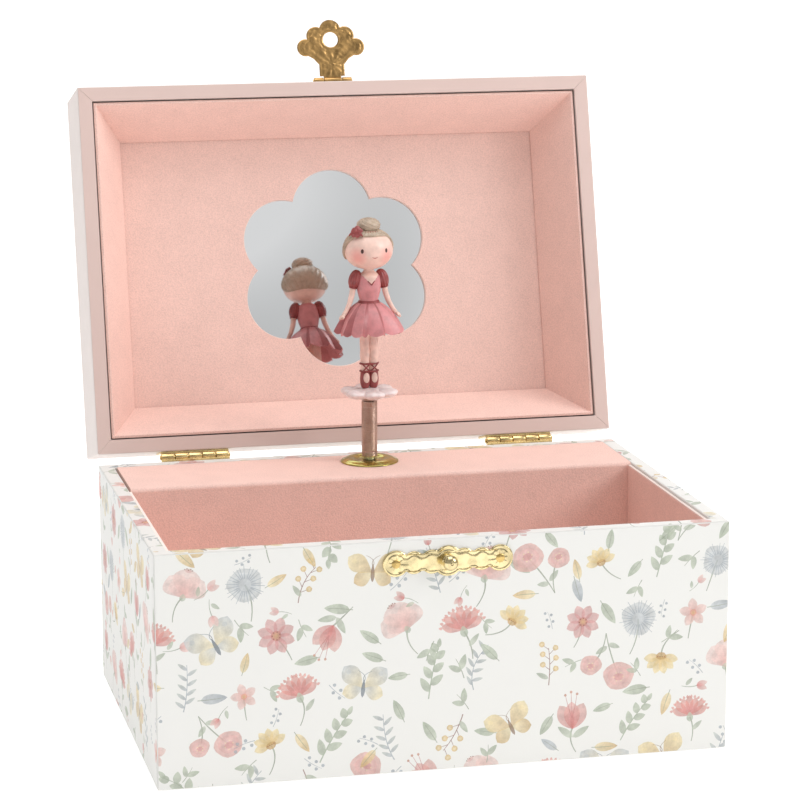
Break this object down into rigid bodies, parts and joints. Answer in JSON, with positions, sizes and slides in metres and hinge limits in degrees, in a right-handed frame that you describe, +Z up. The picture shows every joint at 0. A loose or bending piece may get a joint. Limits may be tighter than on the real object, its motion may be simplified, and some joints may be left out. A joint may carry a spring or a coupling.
{
  "type": "ballerina jewellery box",
  "caption": "Hinged-lid musical jewellery box with a lined tray, a wind-up movement and a turning doll on a bending spring that folds under the closing lid.",
  "frame": {"origin": "middle of the box's footprint, on the surface it stands on", "axes": "+Z up, -Y the front with the clasp, +X to the right as seen from the front"},
  "size_m": [0.19, 0.2061, 0.2294],
  "materials": {
    "printed_paper": "matt printed paper over board",
    "pink_paper": "matt paper over board",
    "pink_flock": "flocked, soft grain",
    "gold_metal": "bright plated",
    "old_gold": "plated, finely textured",
    "steel": "bright",
    "dark_steel": "dull",
    "cast_frame": "cast, dull",
    "spring_wire": "warm plated wire",
    "mirror_glass": "polished",
    "flower_pink": "satin",
    "skin": "satin",
    "dress": "satin",
    "sleeve_red": "satin",
    "hair": "satin"
  },
  "bodies": {
    "box": {"body_front": "printed_paper", "body_back": "printed_paper", "body_left": "printed_paper", "body_right": "printed_paper", "body_bottom": "printed_paper", "compartment_lining": "pink_flock", "deck_front": "pink_flock", "deck_top": "pink_flock", "spindle_bush": "gold_metal", "clasp_plate": "gold_metal", "clasp_knob": "gold_metal", "clasp_nails": "gold_metal", "body_hinge_leaves": "gold_metal", "body_hinge_nails": "gold_metal", "hinge_pins": "gold_metal", "movement_frame": "cast_frame", "movement_screws": "steel", "comb": "steel", "comb_screws": "dark_steel", "barrel_bridge": "steel", "click_spring": "steel", "key_escutcheon": "gold_metal"},
    "spindle": {"spindle": "steel", "spindle_gear": "gold_metal", "spring_foot": "spring_wire"},
    "barrel": {"barrel_drum": "steel", "barrel_gear": "gold_metal", "mainspring": "steel"},
    "arbor": {"winding_arbor": "steel", "ratchet_wheel": "steel", "winding_key": "gold_metal"},
    "cylinder": {"note_cylinder": "gold_metal", "cylinder_arbor": "steel", "cylinder_wheel": "gold_metal"},
    "idler": {"idler": "gold_metal"},
    "governor": {"governor_worm": "steel", "governor_fan": "steel"},
    "lid": {"lid_walls": "pink_paper", "lid_top": "pink_paper", "lid_lining": "pink_flock", "lid_panel": "pink_flock", "mirror_glass": "mirror_glass", "lid_hinge_leaves": "gold_metal", "lid_hinge_nails": "gold_metal", "hasp_bracket": "old_gold", "hasp_pin": "old_gold", "hasp_nails": "old_gold"},
    "hasp": {"hasp": "old_gold"},
    "spring_middle": {"spring_middle": "spring_wire"},
    "spring_head": {"spring_head": "spring_wire"},
    "doll": {"flower_base": "flower_pink", "doll_legs": "skin", "doll_skirt": "dress", "doll_bodice": "dress", "doll_head": "skin", "doll_hair": "hair", "doll_bow": "sleeve_red"}
  },
  "joints": [
    {"name": "lid_hinge", "type": "hinge", "parent": "box", "child": "lid", "pos_m": [0, 0.0682, 0.0783], "axis": [1, 0, 0], "range_deg": [0, 105]},
    {"name": "hasp_hinge", "type": "hinge", "parent": "lid", "child": "hasp", "pos_m": [0, 0.10984, 0.20742], "axis": [1, 0, 0], "range_deg": [-80, 90]},
    {"name": "barrel_turn", "type": "hinge", "parent": "box", "child": "barrel", "pos_m": [0, 0.05, 0.047], "axis": [0, 1, 0], "continuous": true},
    {"name": "key_turn", "type": "hinge", "parent": "box", "child": "arbor", "pos_m": [0, 0.06, 0.047], "axis": [0, 1, 0], "continuous": true},
    {"name": "spindle_turn", "type": "hinge", "parent": "box", "child": "spindle", "pos_m": [0, 0.05, 0.07], "axis": [0, 0, 1], "continuous": true},
    {"name": "cylinder_turn", "type": "hinge", "parent": "box", "child": "cylinder", "pos_m": [-0.032, 0.0476, 0.047], "axis": [1, 0, 0], "continuous": true},
    {"name": "idler_turn", "type": "hinge", "parent": "box", "child": "idler", "pos_m": [-0.055, 0.0476, 0.059], "axis": [1, 0, 0], "continuous": true},
    {"name": "governor_turn", "type": "hinge", "parent": "box", "child": "governor", "pos_m": [-0.057, 0.03815, 0.059], "axis": [0, 0, 1], "continuous": true},
    {"name": "spring_bend_1", "type": "hinge", "parent": "box", "child": "spring_middle", "pos_m": [0, 0.04715, 0.0812], "axis": [1, 0, 0], "range_deg": [0, 61.3]},
    {"name": "spring_bend_2", "type": "hinge", "parent": "spring_middle", "child": "spring_head", "pos_m": [0, 0.04715, 0.0972], "axis": [1, 0, 0], "range_deg": [0, 54.6]},
    {"name": "doll_turn", "type": "hinge", "parent": "spring_head", "child": "doll", "pos_m": [0, 0.05, 0.1], "axis": [0, 0, 1], "continuous": true}
  ],
  "couplings": [
    {"joint": "spindle_turn", "follows": "barrel_turn", "ratio": 2},
    {"joint": "cylinder_turn", "follows": "barrel_turn", "ratio": -3},
    {"joint": "idler_turn", "follows": "barrel_turn", "ratio": 6},
    {"joint": "governor_turn", "follows": "barrel_turn", "ratio": 48},
    {"joint": "spring_bend_1", "follows": "lid_hinge", "ratio": 0.582},
    {"joint": "spring_bend_2", "follows": "lid_hinge", "ratio": 0.518},
    {"joint": "doll_turn", "follows": "barrel_turn", "ratio": 2}
  ]
}
